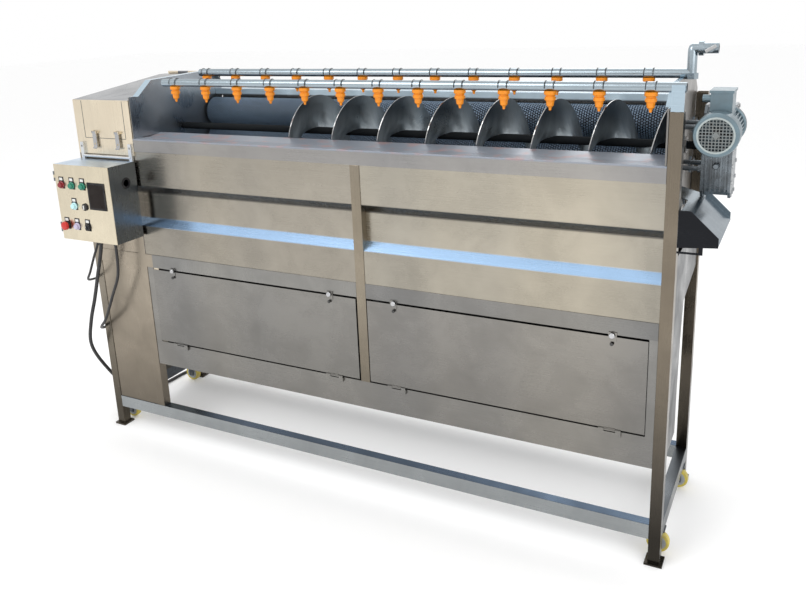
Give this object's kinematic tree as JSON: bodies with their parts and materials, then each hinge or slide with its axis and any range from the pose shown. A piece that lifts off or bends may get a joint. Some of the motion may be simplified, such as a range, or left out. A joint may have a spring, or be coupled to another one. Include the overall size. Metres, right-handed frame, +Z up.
{
  "type": "machine",
  "caption": "Stainless potato washing machine with five brush rollers round an auger, spray pipes, control box, geared drives and a discharge chute on a frame with casters",
  "frame": {"origin": "centre of the machine's footprint without its cables, on the floor", "axes": "+X along the machine from the feed end to the discharge end, +Y to the rear, +Z up"},
  "size_m": [2.6317, 1.026, 1.6575],
  "materials": {
    "brushed_stainless": "brushed",
    "bright_stainless": "bright",
    "auger_stainless": "worn",
    "zinc_plate": "satin",
    "cast_grey_paint": "gloss paint",
    "cowl_paint": "satin paint",
    "nylon_brush": "bristle",
    "chain_steel": "oiled",
    "wheel_polyurethane": "matte",
    "button_red": "gloss",
    "button_green": "gloss",
    "button_clear": "gloss",
    "button_lilac": "gloss",
    "stop_red": "gloss",
    "control_black": "satin",
    "cable_black": "satin",
    "plug_red": "satin",
    "fan_black": "matte"
  },
  "bodies": {
    "frame": {"front_left_post": "brushed_stainless", "front_right_post": "brushed_stainless", "rear_left_post": "brushed_stainless", "rear_right_post": "brushed_stainless", "front_bottom_beam": "brushed_stainless", "rear_bottom_beam": "brushed_stainless", "left_bottom_beam": "brushed_stainless", "right_bottom_beam": "brushed_stainless", "front_top_rail": "brushed_stainless", "left_bay_frame": "brushed_stainless", "middle_post": "brushed_stainless", "mid_rail_right": "brushed_stainless", "upper_panel_left": "brushed_stainless", "upper_panel_right": "brushed_stainless", "door_surround": "brushed_stainless", "rear_panel": "brushed_stainless", "tank": "brushed_stainless", "left_end_plate": "brushed_stainless", "right_end_plate": "brushed_stainless", "drive_chain": "chain_steel", "roller_gearmotor": "cast_grey_paint", "left_cabinet": "brushed_stainless", "control_box": "brushed_stainless", "auger_gearbox": "cast_grey_paint", "auger_motor": "cast_grey_paint", "fan_cowl": "cowl_paint", "discharge_chute": "bright_stainless", "front_spray_pipe": "bright_stainless", "rear_spray_pipe": "bright_stainless", "box_cables": "cable_black", "mains_coil": "cable_black", "mains_lead": "cable_black", "mains_plug": "plug_red"},
    "brush_roller_1": {"brush_roller_1": "nylon_brush"},
    "brush_roller_2": {"brush_roller_2": "nylon_brush"},
    "brush_roller_3": {"brush_roller_3": "nylon_brush"},
    "brush_roller_4": {"brush_roller_4": "nylon_brush"},
    "brush_roller_5": {"brush_roller_5": "nylon_brush"},
    "auger": {"auger": "auger_stainless"},
    "drive_sprocket": {"drive_sprocket": "chain_steel"},
    "motor_fan": {"motor_fan": "fan_black"},
    "drive_lid": {"drive_lid": "brushed_stainless"},
    "lid_latch_left": {"lid_latch_left": "bright_stainless"},
    "lid_latch_right": {"lid_latch_right": "bright_stainless"},
    "control_box_door": {"control_box_door": "brushed_stainless"},
    "start_button_red": {"start_button_red": "button_red"},
    "start_button_green_left": {"start_button_green_left": "button_green"},
    "start_button_green_right": {"start_button_green_right": "button_green"},
    "pump_button": {"pump_button": "button_clear"},
    "power_button": {"power_button": "button_lilac"},
    "emergency_stop": {"emergency_stop": "stop_red"},
    "speed_knob": {"speed_knob": "control_black"},
    "mode_selector": {"mode_selector": "control_black"},
    "access_door_left": {"access_door_left": "brushed_stainless"},
    "access_door_right": {"access_door_right": "brushed_stainless"},
    "valve_handle": {"valve_handle": "zinc_plate"},
    "caster_wheel_front_left": {"caster_wheel_front_left": "wheel_polyurethane"},
    "caster_wheel_front_right": {"caster_wheel_front_right": "wheel_polyurethane"},
    "caster_wheel_rear_left": {"caster_wheel_rear_left": "wheel_polyurethane"},
    "caster_wheel_rear_right": {"caster_wheel_rear_right": "wheel_polyurethane"}
  },
  "joints": [
    {"name": "roller_1_turn", "type": "hinge", "parent": "frame", "child": "brush_roller_1", "pos_m": [0.03525, 0.29815, 1.3714], "axis": [1, 0, 0], "continuous": true},
    {"name": "roller_2_turn", "type": "hinge", "parent": "frame", "child": "brush_roller_2", "pos_m": [0.03525, 0.27735, 1.2402], "axis": [1, 0, 0], "continuous": true},
    {"name": "roller_3_turn", "type": "hinge", "parent": "frame", "child": "brush_roller_3", "pos_m": [0.03525, 0.18025, 1.1496], "axis": [1, 0, 0], "continuous": true},
    {"name": "roller_4_turn", "type": "hinge", "parent": "frame", "child": "brush_roller_4", "pos_m": [0.03525, 0.04785, 1.1381], "axis": [1, 0, 0], "continuous": true},
    {"name": "roller_5_turn", "type": "hinge", "parent": "frame", "child": "brush_roller_5", "pos_m": [0.03525, -0.06355, 1.2104], "axis": [1, 0, 0], "continuous": true},
    {"name": "auger_turn", "type": "hinge", "parent": "frame", "child": "auger", "pos_m": [0.03525, 0.09725, 1.336], "axis": [1, 0, 0], "continuous": true},
    {"name": "drive_sprocket_turn", "type": "hinge", "parent": "frame", "child": "drive_sprocket", "pos_m": [-0.99475, 0.06725, 1.42], "axis": [1, 0, 0], "continuous": true},
    {"name": "motor_fan_turn", "type": "hinge", "parent": "frame", "child": "motor_fan", "pos_m": [1.22125, -0.38275, 1.414], "axis": [0, 1, 0], "continuous": true},
    {"name": "drive_lid_hinge", "type": "hinge", "parent": "frame", "child": "drive_lid", "pos_m": [-1.13475, 0.36725, 1.537], "axis": [-1, 0, 0], "range_deg": [0, 100]},
    {"name": "lid_latch_left_hinge", "type": "hinge", "parent": "drive_lid", "child": "lid_latch_left", "pos_m": [-1.15675, -0.21075, 1.345], "axis": [-1, 0, 0], "range_deg": [0, 150]},
    {"name": "lid_latch_right_hinge", "type": "hinge", "parent": "drive_lid", "child": "lid_latch_right", "pos_m": [-1.03175, -0.21075, 1.345], "axis": [-1, 0, 0], "range_deg": [0, 150]},
    {"name": "control_box_door_hinge", "type": "hinge", "parent": "frame", "child": "control_box_door", "pos_m": [-1.25805, -0.35175, 1.078], "axis": [0, 0, -1], "range_deg": [0, 110]},
    {"name": "start_button_red_press", "type": "slide", "parent": "control_box_door", "child": "start_button_red", "axis": [0, 1, 0], "range_m": [0, 0.004], "stiffness_N_per_m": 300, "springref_m": -0.002},
    {"name": "start_button_green_left_press", "type": "slide", "parent": "control_box_door", "child": "start_button_green_left", "axis": [0, 1, 0], "range_m": [0, 0.004], "stiffness_N_per_m": 300, "springref_m": -0.002},
    {"name": "start_button_green_right_press", "type": "slide", "parent": "control_box_door", "child": "start_button_green_right", "axis": [0, 1, 0], "range_m": [0, 0.004], "stiffness_N_per_m": 300, "springref_m": -0.002},
    {"name": "pump_button_press", "type": "slide", "parent": "control_box_door", "child": "pump_button", "axis": [0, 1, 0], "range_m": [0, 0.004], "stiffness_N_per_m": 300, "springref_m": -0.002},
    {"name": "power_button_press", "type": "slide", "parent": "control_box_door", "child": "power_button", "axis": [0, 1, 0], "range_m": [0, 0.004], "stiffness_N_per_m": 300, "springref_m": -0.002},
    {"name": "emergency_stop_press", "type": "slide", "parent": "control_box_door", "child": "emergency_stop", "axis": [0, 1, 0], "range_m": [0, 0.004], "stiffness_N_per_m": 300, "springref_m": -0.002},
    {"name": "speed_knob_turn", "type": "hinge", "parent": "control_box_door", "child": "speed_knob", "pos_m": [-1.10375, -0.35275, 1.067], "axis": [0, 1, 0], "range_deg": [0, 270]},
    {"name": "mode_selector_turn", "type": "hinge", "parent": "control_box_door", "child": "mode_selector", "pos_m": [-1.10375, -0.35275, 0.983], "axis": [0, 1, 0], "range_deg": [-45, 45]},
    {"name": "access_door_left_hinge", "type": "hinge", "parent": "frame", "child": "access_door_left", "pos_m": [-0.44775, -0.20675, 0.46], "axis": [1, 0, 0], "range_deg": [0, 170]},
    {"name": "access_door_right_hinge", "type": "hinge", "parent": "frame", "child": "access_door_right", "pos_m": [0.57725, -0.20675, 0.46], "axis": [1, 0, 0], "range_deg": [0, 170]},
    {"name": "valve_handle_turn", "type": "hinge", "parent": "frame", "child": "valve_handle", "pos_m": [1.16725, 0.04325, 1.6355], "axis": [0, 1, 0], "range_deg": [0, 90]},
    {"name": "caster_front_left_roll", "type": "hinge", "parent": "frame", "child": "caster_wheel_front_left", "pos_m": [-1.24575, -0.12275, 0.0405], "axis": [0, 1, 0], "continuous": true},
    {"name": "caster_front_right_roll", "type": "hinge", "parent": "frame", "child": "caster_wheel_front_right", "pos_m": [1.11625, -0.12275, 0.0405], "axis": [0, 1, 0], "continuous": true},
    {"name": "caster_rear_left_roll", "type": "hinge", "parent": "frame", "child": "caster_wheel_rear_left", "pos_m": [-1.24575, 0.28725, 0.0405], "axis": [0, 1, 0], "continuous": true},
    {"name": "caster_rear_right_roll", "type": "hinge", "parent": "frame", "child": "caster_wheel_rear_right", "pos_m": [1.11625, 0.28725, 0.0405], "axis": [0, 1, 0], "continuous": true}
  ],
  "couplings": [
    {"joint": "roller_2_turn", "follows": "roller_1_turn", "ratio": 1},
    {"joint": "roller_3_turn", "follows": "roller_1_turn", "ratio": 1},
    {"joint": "roller_4_turn", "follows": "roller_1_turn", "ratio": 1},
    {"joint": "roller_5_turn", "follows": "roller_1_turn", "ratio": 1},
    {"joint": "drive_sprocket_turn", "follows": "roller_1_turn", "ratio": 1},
    {"joint": "motor_fan_turn", "follows": "auger_turn", "ratio": 30}
  ]
}
